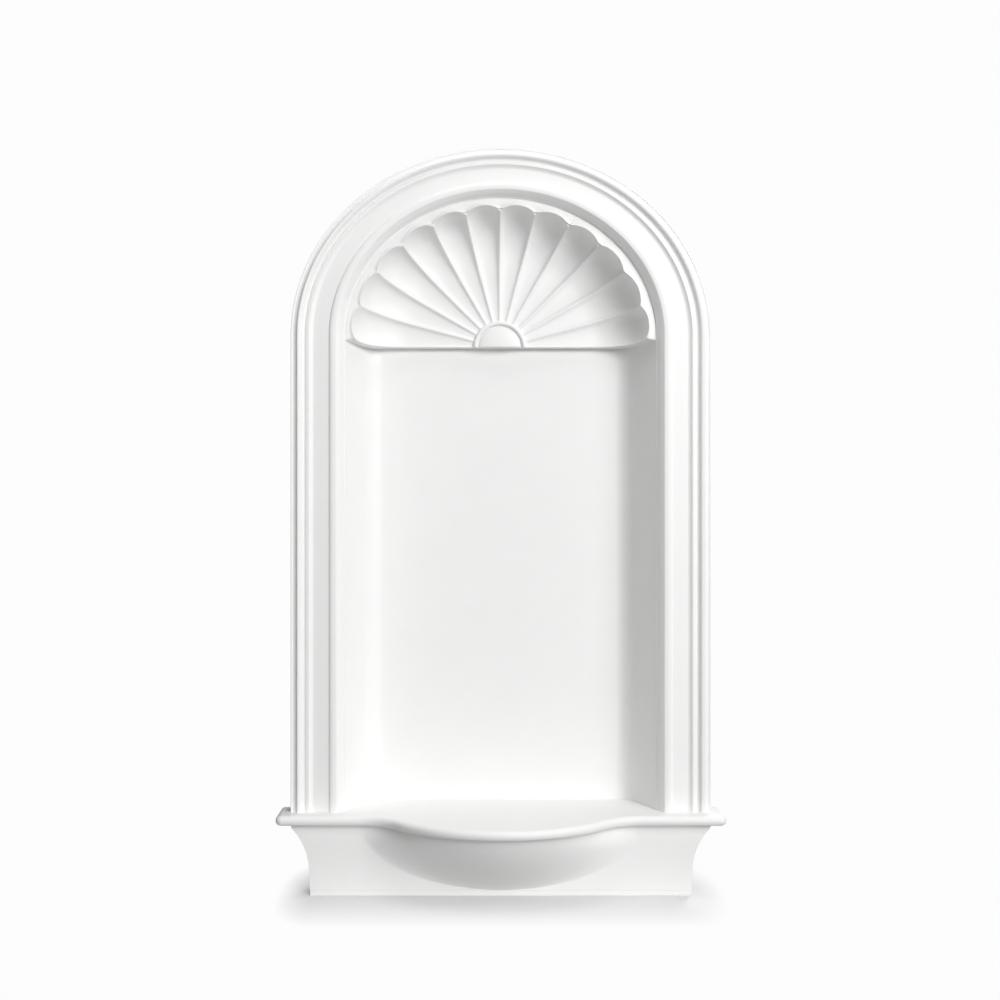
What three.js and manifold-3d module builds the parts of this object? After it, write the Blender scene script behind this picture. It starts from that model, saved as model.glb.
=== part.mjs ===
// Recessed wall niche with a shell top, cast in one piece.
// Millimetres, +Z up. The wall's face is the plane y = 0, the room is on -Y and the recess goes to +Y.
// The origin is the middle of the flat back of the base, where the niche bears on the wall.
import * as THREE from 'three';
import { mergeVertices } from 'three/addons/utils/BufferGeometryUtils.js';
import Module from 'manifold-3d';

const wasm = await Module();
wasm.setup();

// Levels, from the bottom of the base upwards.
const baseHeight = 150;
const legHeight = 876.6;
const archRise = 345;
const shellDrop = 12;

// Widths at the wall, and how far each part stands out from it.
const frameHalfWidth = 386.4;
const shelfOverhang = 23.6;
const shelfStandOut = 84;
const bowStandOut = 118;

// Shelf slab, its half-round nose, and the plan of its bowed front.
const shelfThickness = 18;
const noseFlat = 0.6;
const shelfCornerRound = 3;
const bowEndHalfWidth = 258;
const bowBendShare = 0.26;

// Base under the shelf: coved ends and a bowl-shaped belly that fades out above a band at the bottom.
const baseSetBack = 26;
const endBandHeight = 8;
const coveDepth = 33;
const coveHeight = 80;
const endTaper = 2;
const bottomBandHeight = 10;
const bottomBandSetBack = 0.6;
const bellyFullness = 1.5;
const bellyRoundness = 0.5;
const bellyRoundFrom = 0.35;

// Recess in the wall.
const recessDepth = 66;
const wallThickness = 12;
const lidThickness = 14;
const recessCornerRadius = 38;
const sideSlope = THREE.MathUtils.degToRad(66);

// Moulding of the frame. Each member has its width across the frame, and heights are above the wall.
const lipWidth = 3;
const lipHeight = 46;
const lipRound = 1;
const coveWidth = 9.5;
const coveStart = 44.5;
const crestWidth = 2.5;
const crestHeight = 51.5;
const ogeeWidth = 10.5;
const quirkHeight = 43.5;
const beadWidth = 8;
const beadHeight = 46.5;
const bevelWidth = 8.5;
const fasciaWidth = 28.5;
const fasciaOuterHeight = 41.5;
const fasciaInnerHeight = 44.5;
const innerBeadWidth = 14.5;
const innerBeadHeight = 49;
const innerBeadDrop = 0.6;
const chamferWidth = 6.5;
const chamferHeight = 40;
const returnWidth = 5;
const ledgeHeight = 28;
const ledgeWidth = 1;

// Shell: a hub at the bottom and flutes that spread from it, between flat-topped ridges.
const fluteCount = 12;
const sideBorder = 19.2;
const topBorder = 24.4;
const sideScallopRise = 6.9;
const topScallopRise = 11;
const bowlHeight = -46;
const bowlRun = 98;
const edgeHeight = 32;
const ridgeHalfWidth = 2.4;
const scoopShare = 0.042;
const scoopFade = 26;
const edgeWidth = 3;
const edgeRound = 0.5;
const filletWidth = 3;
const filletHeight = 0.8;
const soffitCurlRun = 120;
const soffitCurlRise = 8.5;
const soffitCurlDrop = 2.4;

// Hub: a ring round a low dome.
const hubRadius = 50.7;
const hubRingWidth = 8.5;
const hubRingHeight = 5;
const hubGrooveWidth = 2.2;
const hubGrooveDepth = 1.5;
const hubDomeHeight = 8;
const hubRingRound = 1;

// Fineness of the facets.
const archSteps = 40;
const stepsPerFlute = 6;
const fluteBend = 0.5;
const fluteSteps = 2;
const bowlSteps = 7;
const curlSteps = 8;
const roundSteps = 4;
const bendSteps = 5;
const frontSteps = 32;
const baseColumns = 28;
const baseEndColumns = 2;
const bellyRows = 10;

// Places that follow from the sizes.
const bottomZ = -(baseHeight - shelfThickness) / 2;
const shelfTopZ = bottomZ + baseHeight;
const shelfBottomZ = shelfTopZ - shelfThickness;
const springZ = shelfTopZ + legHeight;
const shellZ = springZ - shellDrop;
const archRatio = archRise / frameHalfWidth;
const mouldingWidth = lipWidth + coveWidth + crestWidth + ogeeWidth + beadWidth + bevelWidth
  + fasciaWidth + innerBeadWidth + chamferWidth + returnWidth;
const revealHalfWidth = frameHalfWidth - mouldingWidth;
const rimHalfWidth = revealHalfWidth - ledgeWidth;
const shelfHalfWidth = frameHalfWidth + shelfOverhang;
const nose = (shelfThickness - noseFlat) / 2;
const shelfCornerRadius = nose + shelfCornerRound;
const shellHalfWidth = rimHalfWidth - sideBorder;
const shellRise = archRatio * rimHalfWidth + shellDrop - topBorder;
const soffitCurlStart = shellHalfWidth - soffitCurlRun;
const sector = Math.PI / fluteCount;
const bowlRise = edgeHeight - bowlHeight;
const bowlRadius = (bowlRun * bowlRun + bowlRise * bowlRise) / (2 * bowlRise);
const scoopDepth = scoopShare * shellRise;
const shellBack = bowlHeight - scoopDepth - wallThickness;
const overlap = 5;
const roomFront = shelfStandOut + bowStandOut + overlap;

// Turns a closed geometry into a solid, with its shared points merged and its faces turned out.
function solidOf(geometry) {
  const bare = geometry.index ? geometry.toNonIndexed() : geometry;
  bare.deleteAttribute('normal');
  bare.deleteAttribute('uv');
  const merged = mergeVertices(bare, 1e-3);
  const positions = merged.getAttribute('position');
  const index = merged.index.array;
  const corner = [new THREE.Vector3(), new THREE.Vector3(), new THREE.Vector3()];
  const triangles = [];
  let volume = 0;
  for (let i = 0; i < index.length; i += 3) {
    const [a, b, c] = index.slice(i, i + 3);
    if (a === b || b === c || c === a) continue;
    triangles.push([a, b, c]);
    corner[0].fromBufferAttribute(positions, a);
    corner[1].fromBufferAttribute(positions, b);
    corner[2].fromBufferAttribute(positions, c);
    volume += corner[0].dot(corner[1].cross(corner[2]));
  }
  const outward = volume < 0 ? triangles.map(([a, b, c]) => [a, c, b]) : triangles;
  return new wasm.Manifold(new wasm.Mesh({
    numProp: 3,
    vertProperties: new Float32Array(positions.array),
    triVerts: new Uint32Array(outward.flat()),
  }));
}

// Moves every point of a geometry to where a function of its coordinates says.
function reshape(geometry, place) {
  const positions = geometry.getAttribute('position');
  for (let i = 0; i < positions.count; i += 1) {
    const [x, y, z] = place(positions.getX(i), positions.getY(i), positions.getZ(i));
    positions.setXYZ(i, x, y, z);
  }
  return geometry;
}

// A block between two corners.
function block(low, high) {
  const size = high.map((value, axis) => value - low[axis]);
  const geometry = new THREE.BoxGeometry(...size);
  geometry.translate(...low.map((value, axis) => value + size[axis] / 2));
  return solidOf(geometry);
}

// An upright prism of a plan drawn with y as height above the wall.
function upright(plan, lowZ, highZ) {
  const geometry = new THREE.ExtrudeGeometry(plan, {
    depth: highZ - lowZ,
    bevelEnabled: false,
  });
  return solidOf(reshape(geometry, (x, height, z) => [x, -height, lowZ + z]));
}

// Section of the frame's moulding: x is the distance from the middle, y the height above the wall.
function mouldingSection() {
  const section = new THREE.Shape();
  let x = frameHalfWidth;
  section.moveTo(x, 0);
  section.lineTo(x, lipHeight - lipRound);
  section.lineTo(x - lipRound, lipHeight);
  x -= lipWidth;
  section.lineTo(x, coveStart);
  section.quadraticCurveTo(x - coveWidth * 0.8, coveStart, x - coveWidth, crestHeight);
  x -= coveWidth + crestWidth;
  section.lineTo(x, crestHeight);
  section.bezierCurveTo(
    x - ogeeWidth * 0.5,
    crestHeight,
    x - ogeeWidth * 0.4,
    quirkHeight,
    x - ogeeWidth,
    quirkHeight,
  );
  x -= ogeeWidth;
  section.quadraticCurveTo(x - beadWidth * 0.2, beadHeight, x - beadWidth, beadHeight);
  x -= beadWidth;
  section.quadraticCurveTo(x - bevelWidth * 0.5, fasciaOuterHeight, x - bevelWidth, fasciaOuterHeight);
  x -= bevelWidth + fasciaWidth;
  section.lineTo(x, fasciaInnerHeight);
  section.quadraticCurveTo(
    x - innerBeadWidth * 0.05,
    innerBeadHeight,
    x - innerBeadWidth * 0.6,
    innerBeadHeight,
  );
  section.lineTo(x - innerBeadWidth, innerBeadHeight - innerBeadDrop);
  x -= innerBeadWidth + chamferWidth;
  section.lineTo(x, chamferHeight);
  x -= returnWidth;
  section.lineTo(x, ledgeHeight);
  section.lineTo(x - ledgeWidth, ledgeHeight);
  section.lineTo(x - wallThickness * 2, edgeHeight + overlap);
  section.lineTo(x - wallThickness * 2, 0);
  section.closePath();
  return section;
}

// The frame: the moulding swept up one leg, over the flattened arch and down the other leg.
function frame() {
  const stations = archSteps + 2;
  const sweep = new THREE.ExtrudeGeometry(mouldingSection(), {
    depth: stations,
    steps: stations,
    bevelEnabled: false,
    curveSegments: roundSteps,
  });
  const footZ = shelfTopZ - overlap;
  return solidOf(reshape(sweep, (x, height, station) => {
    const step = Math.round(station);
    if (step === 0) return [x, -height, footZ];
    if (step === stations) return [-x, -height, footZ];
    const angle = Math.PI * (step - 1) / archSteps;
    return [x * Math.cos(angle), -height, springZ + archRatio * x * Math.sin(angle)];
  }));
}

// Half of the recess in plan, as points from the middle of its back to the wall's face and on.
// grow moves the line outwards by a wall's thickness.
function recessLine(back, grow) {
  const radius = recessCornerRadius + grow;
  const slopeX = (height) => rimHalfWidth - (ledgeHeight - height) / Math.tan(sideSlope)
    + grow / Math.sin(sideSlope);
  const bendHeight = back + radius * (1 - Math.cos(sideSlope));
  const flatEnd = slopeX(bendHeight) - radius * Math.sin(sideSlope);
  const line = [];
  for (let i = 0; i <= bendSteps; i += 1) {
    const angle = sideSlope * i / bendSteps;
    line.push([flatEnd + radius * Math.sin(angle), back + radius * (1 - Math.cos(angle))]);
  }
  return { line, slopeX };
}

// Both halves of a plan line as a closed outline.
function mirroredPlan(line) {
  const plan = new THREE.Shape();
  plan.moveTo(...line[0]);
  line.slice(1).forEach(([x, height]) => plan.lineTo(x, height));
  line.toReversed().forEach(([x, height]) => plan.lineTo(-x, height));
  plan.closePath();
  return plan;
}

// Half of the shell's outside in plan: flat behind the hub, then an arc behind the bowl.
function shellOutside() {
  const radius = bowlRadius + scoopDepth + wallThickness;
  const reach = Math.acos(1 - (overlap - shellBack) / radius);
  const line = [];
  for (let i = 0; i <= bendSteps; i += 1) {
    const angle = reach * i / bendSteps;
    const x = shellHalfWidth - bowlRun + radius * Math.sin(angle);
    line.push([x, shellBack + radius * (1 - Math.cos(angle))]);
  }
  return line;
}

// The outside of the recess: a box behind the wall with rounded edges, and a dome behind the shell.
function recessBody() {
  const inFrame = ledgeHeight - ledgeWidth;
  const { line, slopeX } = recessLine(-recessDepth - wallThickness, wallThickness);
  const deep = [...line, [slopeX(overlap), overlap], [slopeX(overlap), inFrame]];
  const box = upright(mirroredPlan(deep), shelfBottomZ, shellZ + lidThickness);
  const bowl = shellOutside();
  const [domeHalfWidth] = bowl[bowl.length - 1];
  const profile = [[0, shellBack], ...bowl, [domeHalfWidth, inFrame], [0, inFrame]];
  const dome = reshape(
    new THREE.LatheGeometry(profile.map(([x, height]) => new THREE.Vector2(x, -height)), archSteps * 2),
    (x, y, z) => [z, y, springZ + archRatio * x],
  );
  return box.add(solidOf(dome));
}

// The room inside the recess between two levels.
function recessRoom(lowZ, highZ) {
  const { line } = recessLine(-recessDepth, 0);
  const outline = [...line, [rimHalfWidth, ledgeHeight], [rimHalfWidth, roomFront]];
  return upright(mirroredPlan(outline), lowZ, highZ);
}

// How far the underside of the shell lifts near its two ends.
function soffitLift(x, height) {
  const side = Math.abs(x);
  const curl = THREE.MathUtils.clamp((side - soffitCurlStart) / soffitCurlRun, 0, 1) ** 2;
  const drop = THREE.MathUtils.smoothstep(side, shellHalfWidth, rimHalfWidth);
  const forward = THREE.MathUtils.clamp((height + recessDepth) / (edgeHeight + recessDepth), 0.02, 1);
  return (soffitCurlRise * curl - soffitCurlDrop * drop) * forward * forward;
}

// A wedge of air under one lifted end of the shell.
function soffitWedge(side) {
  const width = rimHalfWidth - soffitCurlStart;
  const reach = recessDepth + edgeHeight + overlap;
  const wedge = new THREE.BoxGeometry(width, reach, overlap, curlSteps, roundSteps, 1);
  wedge.translate(soffitCurlStart + width / 2, recessDepth - reach / 2, 0);
  const placed = reshape(wedge, (x, y, z) => {
    const lift = z > 0 ? soffitLift(x, -y) : -overlap;
    return [side * x, y, shellZ + lift];
  });
  return solidOf(placed);
}

// Distance from the shell's centre to an ellipse round it, in a given direction.
function ellipseRadius(halfWidth, rise, angle) {
  return halfWidth * rise / Math.hypot(rise * Math.cos(angle), halfWidth * Math.sin(angle));
}

// Distance from the shell's centre to the inner edge of the frame, in a given direction.
function rimRadius(angle) {
  const c = Math.abs(Math.cos(angle));
  const s = Math.abs(Math.sin(angle));
  const straight = rimHalfWidth / Math.max(c, 1e-9);
  if (straight * s < shellDrop) return straight;
  const rise = archRatio * rimHalfWidth;
  const a = (c / rimHalfWidth) ** 2 + (s / rise) ** 2;
  const b = shellDrop * s / rise ** 2;
  return (b + Math.sqrt(b * b - a * ((shellDrop / rise) ** 2 - 1))) / a;
}

// Place across a flute, from -1 at one ridge to 1 at the next.
function acrossFlute(angle) {
  const share = Math.abs(angle) * fluteCount / Math.PI;
  return 2 * (share - Math.floor(share + 1e-9)) - 1;
}

// Distance from the shell's centre to its scalloped lip. Each scallop is an arc between two ridges.
function lipRadius(angle) {
  const across = acrossFlute(angle);
  const ridge = ellipseRadius(shellHalfWidth, shellRise, angle);
  const rise = sideScallopRise + (topScallopRise - sideScallopRise) * Math.abs(Math.sin(angle));
  const halfChord = ridge * Math.sin(sector / 2);
  const bulge = ridge * (1 - Math.cos(sector / 2));
  const sagitta = rise + bulge;
  const arcRadius = (halfChord * halfChord + sagitta * sagitta) / (2 * sagitta);
  const arc = sagitta - arcRadius + Math.sqrt(arcRadius ** 2 - (halfChord * across) ** 2);
  return ridge + arc - bulge * (1 - across * across);
}

// Height of the shell's fluted face. The flutes have steep walls beside the flat-topped ridges.
function faceHeight(radius, angle) {
  const lip = lipRadius(angle);
  const run = Math.max(0, radius - lip + bowlRun);
  const bowl = bowlHeight + bowlRadius - Math.sqrt(bowlRadius * bowlRadius - run * run);
  const halfFlute = radius * sector / 2;
  const fromRidge = halfFlute * (1 - Math.abs(acrossFlute(angle)));
  const fromMiddle = 1 - THREE.MathUtils.clamp((fromRidge - ridgeHalfWidth) / (halfFlute - ridgeHalfWidth), 0, 1);
  const hollow = 1 - (fromMiddle ** 2 + fromMiddle ** 6) / 2;
  const fade = Math.min(1, Math.sqrt(Math.max(0, (lip - radius) / scoopFade)));
  return bowl - scoopShare * radius * hollow * fade;
}

// Stations along one line of the shell from its centre outwards, each a radius, a height and an angle.
// The lines beside a ridge run along the two edges of its flat top.
function shellLine(turn) {
  const flute = Math.floor(turn / stepsPerFlute);
  const step = turn - flute * stepsPerFlute;
  const angleAt = (share) => {
    const edge = 1 - ridgeHalfWidth / (share * shellHalfWidth * sector / 2);
    const place = [-1, -edge, -fluteBend, 0, fluteBend, edge][step];
    return sector * (flute + (1 + place) / 2) - Math.PI;
  };
  const lipAngle = angleAt(1);
  const lip = lipRadius(lipAngle);
  const hubAngle = angleAt(hubRadius / lip);
  const domeRadius = hubRadius - hubRingWidth - hubGrooveWidth;
  const line = [];
  for (let i = 0; i <= roundSteps; i += 1) {
    const bend = Math.PI / 2 * i / roundSteps;
    line.push([domeRadius * Math.sin(bend), bowlHeight + hubDomeHeight * Math.cos(bend), hubAngle]);
  }
  line.push([domeRadius + hubGrooveWidth / 2, bowlHeight - hubGrooveDepth, hubAngle]);
  line.push([domeRadius + hubGrooveWidth, bowlHeight + hubRingHeight * 0.6, hubAngle]);
  line.push([hubRadius - hubRingWidth / 2, bowlHeight + hubRingHeight, hubAngle]);
  line.push([hubRadius - hubRingRound, bowlHeight + hubRingHeight * 0.5, hubAngle]);

  const bowlStart = lip - bowlRun;
  const radii = [];
  for (let i = 0; i <= fluteSteps; i += 1) {
    radii.push(hubRadius + (bowlStart - hubRadius) * i / fluteSteps);
  }
  for (let i = 1; i < bowlSteps; i += 1) {
    radii.push(bowlStart + bowlRun * Math.sin(Math.PI / 2 * i / bowlSteps));
  }
  for (const radius of radii) {
    const angle = angleAt(radius / lip);
    line.push([radius, faceHeight(radius, angle), angle]);
  }
  line.push([lip, edgeHeight, lipAngle]);
  line.push([lip + edgeWidth * 0.6, edgeHeight - edgeRound, lipAngle]);
  line.push([lip + edgeWidth, ledgeHeight + filletHeight, lipAngle]);
  line.push([lip + edgeWidth + filletWidth, ledgeHeight, lipAngle]);
  line.push([rimRadius(lipAngle), ledgeHeight, lipAngle]);
  return line;
}

// The room in front of the shell: a disc whose back is the fluted bowl, of which the top half is used.
function shellRoom() {
  const stations = shellLine(0).length + 2;
  const profile = [];
  for (let i = 0; i < stations; i += 1) {
    profile.push(new THREE.Vector2(i === stations - 1 ? 0 : i, i === stations - 1 ? stations : 0));
  }
  const turns = fluteCount * stepsPerFlute * 2;
  const disc = new THREE.LatheGeometry(profile, turns);
  const lines = new Map();
  const lineAt = (turn) => {
    if (!lines.has(turn)) lines.set(turn, shellLine(turn));
    return lines.get(turn);
  };
  const placed = reshape(disc, (x, y, z) => {
    if (y > 0) return [0, -roomFront, shellZ];
    const station = Math.round(Math.hypot(x, z));
    const turn = Math.round((Math.atan2(x, z) + Math.PI) * turns / (2 * Math.PI)) % turns;
    const line = lineAt(turn);
    const [rim, , rimAngle] = line[line.length - 1];
    const [radius, height, angle] = station < line.length ? line[station] : [rim, roomFront, rimAngle];
    const acrossX = radius * Math.cos(angle);
    const low = Math.min(Math.abs(angle), Math.PI - Math.abs(angle));
    const lift = soffitLift(acrossX, Math.min(height, edgeHeight)) * Math.max(0, 1 - low / sector);
    return [acrossX, -height, shellZ + radius * Math.sin(angle) + (angle >= -1e-9 ? lift : 0)];
  });
  const far = frameHalfWidth * 2;
  const upper = block([-far, -roomFront * 2, shellZ], [far, far, springZ + far]);
  return solidOf(placed).intersect(upper);
}

// Plan of the bowed front: height above the wall at a place across, moved back by an inset.
function frontAt(x, inset) {
  const side = Math.abs(x);
  const tip = shelfStandOut + bowStandOut;
  const bothRadii = (bowEndHalfWidth ** 2 + bowStandOut ** 2) / (2 * bowStandOut);
  const bendRadius = bowBendShare * bothRadii;
  const bowRadius = bothRadii - bendRadius;
  const bowCentre = tip - bowRadius;
  const bendCentre = shelfStandOut + bendRadius;
  const meet = bowEndHalfWidth * (bowRadius - inset) / bothRadii;
  if (side <= meet) return bowCentre + Math.sqrt((bowRadius - inset) ** 2 - side * side);
  if (side >= bowEndHalfWidth) return shelfStandOut - inset;
  const run = bowEndHalfWidth - side;
  return bendCentre - Math.sqrt((bendRadius + inset) ** 2 - run * run);
}

// The shelf: a slab with a bowed front and a half-round edge, flat against the wall.
function shelf() {
  const plan = new THREE.Shape();
  const cornerX = shelfHalfWidth - shelfCornerRadius;
  plan.moveTo(-shelfHalfWidth, -shelfThickness * 2);
  plan.lineTo(-shelfHalfWidth, shelfStandOut - shelfCornerRadius);
  plan.absarc(-cornerX, shelfStandOut - shelfCornerRadius, shelfCornerRadius, Math.PI, Math.PI / 2, true);
  for (let i = 0; i <= frontSteps; i += 1) {
    const x = bowEndHalfWidth * (2 * i / frontSteps - 1);
    plan.lineTo(x, frontAt(x, 0));
  }
  plan.absarc(cornerX, shelfStandOut - shelfCornerRadius, shelfCornerRadius, Math.PI / 2, 0, true);
  plan.lineTo(shelfHalfWidth, -shelfThickness * 2);
  plan.closePath();
  const slab = new THREE.ExtrudeGeometry(plan, {
    depth: noseFlat,
    bevelThickness: nose,
    bevelSize: nose,
    bevelOffset: -nose,
    bevelSegments: roundSteps,
    curveSegments: roundSteps,
  });
  const placed = reshape(slab, (x, height, z) => [x, -height, shelfBottomZ + nose + z]);
  const room = block([-frameHalfWidth * 2, -roomFront * 2, bottomZ], [frameHalfWidth * 2, 0, springZ]);
  return solidOf(placed).intersect(room);
}

// How far the ends of the base are drawn in, at a depth under the shelf.
function endInset(depth) {
  const below = THREE.MathUtils.clamp(endBandHeight + coveHeight - depth, 0, coveHeight);
  const radius = (coveHeight * coveHeight + coveDepth * coveDepth) / (2 * coveDepth);
  const cove = coveDepth - (radius - Math.sqrt(radius * radius - below * below));
  const lower = THREE.MathUtils.smoothstep(depth, endBandHeight + coveHeight, baseHeight - shelfThickness);
  return cove + endTaper * lower;
}

// How far the belly stands out from the base, at a place across and a depth under the shelf.
function bellyOut(x, depth) {
  const share = depth / (baseHeight - shelfThickness - bottomBandHeight);
  if (share >= 1) return 0;
  const across = Math.min(Math.abs(x) / (bowEndHalfWidth * Math.sqrt(1 - share * share)), 1);
  const bow = frontAt(bowEndHalfWidth * across, baseSetBack) - (shelfStandOut - baseSetBack);
  const round = bowStandOut * (1 - across * across);
  const roundness = bellyRoundness * THREE.MathUtils.smoothstep(share, 0, bellyRoundFrom);
  return THREE.MathUtils.lerp(bow, round, roundness) * (1 - share ** bellyFullness);
}

// The base: a block with coved ends, a band along its bottom, and the belly under the bow.
function base() {
  const height = baseHeight - shelfThickness;
  const bellyHeight = height - bottomBandHeight;
  const rows = bellyRows + 3;
  const body = new THREE.BoxGeometry(baseColumns, 1, rows, baseColumns, 1, rows);
  const halfWidth = shelfHalfWidth - baseSetBack;
  const placed = reshape(body, (column, y, level) => {
    const row = Math.round(rows / 2 - level);
    const bellyShare = Math.min(row / bellyRows, 1);
    const depths = [bellyHeight, bellyHeight + bottomBandSetBack, (bellyHeight + height) / 2, height];
    const depth = row < bellyRows ? bellyHeight * bellyShare ** 1.1 : depths[row - bellyRows];
    const edge = halfWidth - endInset(depth);
    const side = Math.abs(column);
    const bellyColumns = baseColumns / 2 - baseEndColumns;
    const across = side <= bellyColumns
      ? bowEndHalfWidth * side / bellyColumns
      : bowEndHalfWidth + (edge - bowEndHalfWidth) * (side - bellyColumns) / baseEndColumns;
    const setBack = row > bellyRows ? bottomBandSetBack : 0;
    const front = shelfStandOut - baseSetBack + bellyOut(across, depth) - setBack;
    const top = row === 0 ? noseFlat : 0;
    return [Math.sign(column) * across, y > 0 ? 0 : -front, shelfBottomZ - depth + top];
  });
  return solidOf(placed);
}

// The whole niche as one casting.
function niche() {
  const curlRoom = recessRoom(shellZ - overlap, shellZ + overlap * 2);
  return frame()
    .add(recessBody())
    .add(shelf())
    .add(base())
    .subtract(recessRoom(shelfTopZ, shellZ))
    .subtract(shellRoom())
    .subtract(soffitWedge(1).intersect(curlRoom))
    .subtract(soffitWedge(-1).intersect(curlRoom));
}

// A mesh of a finished solid.
function meshOf(solid, name, material) {
  const { vertProperties, triVerts, numProp } = solid.getMesh();
  const positions = new Float32Array(vertProperties.length / numProp * 3);
  for (let i = 0; i < positions.length / 3; i += 1) {
    positions.set(vertProperties.subarray(i * numProp, i * numProp + 3), i * 3);
  }
  const geometry = new THREE.BufferGeometry();
  geometry.setAttribute('position', new THREE.BufferAttribute(positions, 3));
  geometry.setIndex(new THREE.BufferAttribute(new Uint32Array(triVerts), 1));
  geometry.computeVertexNormals();
  const mesh = new THREE.Mesh(geometry, material);
  mesh.name = name;
  return mesh;
}

const primedWhite = new THREE.MeshStandardMaterial({ color: 0xf1f1ef, roughness: 0.55, metalness: 0 });

const model = new THREE.Group();
model.add(meshOf(niche(), 'wall_niche', primedWhite));

export default model;
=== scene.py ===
# Wall niche with a shell top: the looks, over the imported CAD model.
# Sizes are in millimetres in the pieces' dictionaries and in metres in the meshes.
# The wall's face is y = 0, and the room is on -Y.
import math

import bmesh
import bpy
from mathutils import Matrix, Vector


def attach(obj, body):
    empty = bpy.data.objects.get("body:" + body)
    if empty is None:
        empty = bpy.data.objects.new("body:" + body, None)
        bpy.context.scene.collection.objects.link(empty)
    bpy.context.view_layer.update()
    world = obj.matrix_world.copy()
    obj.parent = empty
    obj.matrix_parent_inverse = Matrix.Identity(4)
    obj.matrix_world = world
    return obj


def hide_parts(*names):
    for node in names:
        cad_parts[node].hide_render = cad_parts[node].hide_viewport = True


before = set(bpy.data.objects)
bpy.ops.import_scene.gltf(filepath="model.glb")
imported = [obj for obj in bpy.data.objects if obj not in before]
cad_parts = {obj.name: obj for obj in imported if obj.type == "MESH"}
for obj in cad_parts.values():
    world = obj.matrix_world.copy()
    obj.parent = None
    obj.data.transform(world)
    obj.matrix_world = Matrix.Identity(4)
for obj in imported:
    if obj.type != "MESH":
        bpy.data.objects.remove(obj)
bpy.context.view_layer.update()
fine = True
mm = 0.001
mergeReach = 0.00001  # metres: points closer than this are merged
sliverReach = 0.000002  # metres: edges shorter than this are taken out

# Levels and plan sizes that several pieces share.
niche = {
    "bottom": -66,
    "shelfTop": 84,
    "shelfThickness": 18,
    "spring": 960.6,  # where the arch starts
    "shellFoot": 948.6,  # the shell's centre is here
    "frameHalfWidth": 386.4,
    "archRise": 345,
    "rimHalfWidth": 288.9,  # the frame's inner edge
    "rimHeight": 28,
    "wallThickness": 12,
    "overlap": 5,  # how far pieces run into each other before they are joined
    "roomFront": 207,  # the rooms that are cut out reach this far in front of the wall
    "sharpAngle": 38,  # degrees past which an edge stays sharp
}
archRatio = niche["archRise"] / niche["frameHalfWidth"]
shelfFloor = niche["shelfTop"] - niche["shelfThickness"]


def clamp(value, low=0.0, high=1.0):
    return max(low, min(high, value))


def smooth(value, low, high):
    share = clamp((value - low) / (high - low))
    return share * share * (3 - 2 * share)


def spot(x, height, z):
    # A point from its place across, its height above the wall and its level.
    return Vector((x * mm, -height * mm, z * mm))


def finished(work, name):
    # A closed bmesh becomes an object, with its doubles merged and its faces turned out.
    bmesh.ops.remove_doubles(work, verts=work.verts, dist=mergeReach)
    bmesh.ops.dissolve_degenerate(work, edges=work.edges, dist=sliverReach)
    bmesh.ops.recalc_face_normals(work, faces=work.faces)
    mesh = bpy.data.meshes.new(name)
    work.to_mesh(mesh)
    openEdges = sum(1 for edge in work.edges if not edge.is_manifold)
    work.free()
    piece = bpy.data.objects.new(name, mesh)
    bpy.context.scene.collection.objects.link(piece)
    print(f"{name}: {len(mesh.polygons)} faces, {openEdges} open edges")
    return piece


def combined(body, tool, operation):
    # Joins a tool to the body or cuts it away, and leaves the tool out of the scene.
    step = body.modifiers.new(operation, "BOOLEAN")
    step.operation = operation
    step.solver = "MANIFOLD"
    step.object = tool
    settled = bpy.context.evaluated_depsgraph_get()
    mesh = bpy.data.meshes.new_from_object(body.evaluated_get(settled))
    body.modifiers.clear()
    body.data = mesh
    bpy.data.objects.remove(tool)
    print(f"{operation.lower()}: {len(mesh.polygons)} faces")
    return body


def strip(work, places, closed=False):
    # A row of points joined by edges.
    points = [work.verts.new(place) for place in places]
    pairs = list(zip(points, points[1:])) + ([(points[-1], points[0])] if closed else [])
    return points, [work.edges.new(pair) for pair in pairs]


def curvePoints(start, bends, end, steps):
    # Points along a curve, pulled towards one or two bends. The start is left out.
    stops = [start, *bends, end]
    degree = len(stops) - 1
    points = []
    for i in range(1, steps + 1):
        t = i / steps
        weights = [math.comb(degree, k) * t ** k * (1 - t) ** (degree - k)
                   for k in range(degree + 1)]
        points.append(tuple(sum(weight * stop[axis] for weight, stop in zip(weights, stops))
                            for axis in (0, 1)))
    return points


def eased(points, radii, steps=3):
    # Rounds the named corners of a line of points. radii maps a point's number to its radius.
    most = 0.49  # of a side's length, so that two roundings never meet
    line = []
    for i, point in enumerate(points):
        if i not in radii:
            line.append(point)
            continue
        corner = Vector(point)
        back = Vector(points[i - 1]) - corner
        ahead = Vector(points[(i + 1) % len(points)]) - corner
        reach = min(radii[i], back.length * most, ahead.length * most)
        start = corner + back.normalized() * reach
        end = corner + ahead.normalized() * reach
        line.append(tuple(start))
        line.extend(curvePoints(tuple(start), [tuple(corner)], tuple(end), steps))
    return line


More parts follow.
